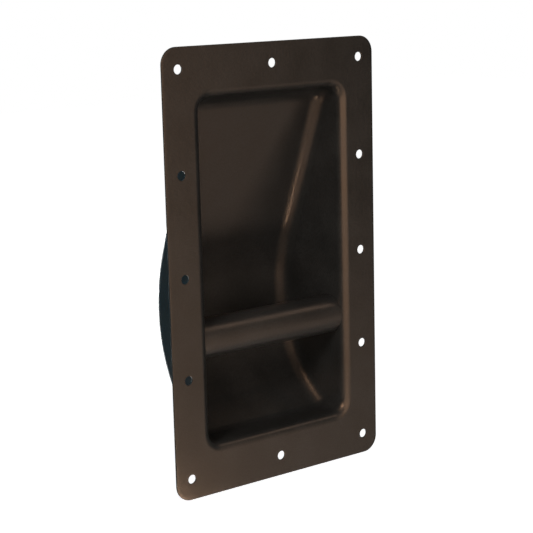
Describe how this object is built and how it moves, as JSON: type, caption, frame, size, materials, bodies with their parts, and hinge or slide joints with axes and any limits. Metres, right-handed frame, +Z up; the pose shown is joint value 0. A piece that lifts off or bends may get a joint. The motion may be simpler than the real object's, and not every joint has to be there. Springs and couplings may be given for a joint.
{
  "type": "recessed bar handle",
  "caption": "Recessed bar handle for a loudspeaker cabinet or case: a deep pressed steel dish with a screw flange and a round grip bar across its mouth.",
  "frame": {"origin": "centre of the screw pattern on the flange's back face, the face that lies on the cabinet", "axes": "+Z up as the handle is fixed, X along the grip bar, +Y into the cabinet, so the front faces -Y"},
  "size_m": [0.1564, 0.0597, 0.2652],
  "materials": {
    "dish": "satin powder coat",
    "grip_bar": "satin powder coat",
    "weld": "satin powder coat"
  },
  "bodies": {
    "root": {"dish": "dish", "grip_bar": "grip_bar", "left_weld": "weld", "right_weld": "weld"}
  },
  "joints": []
}
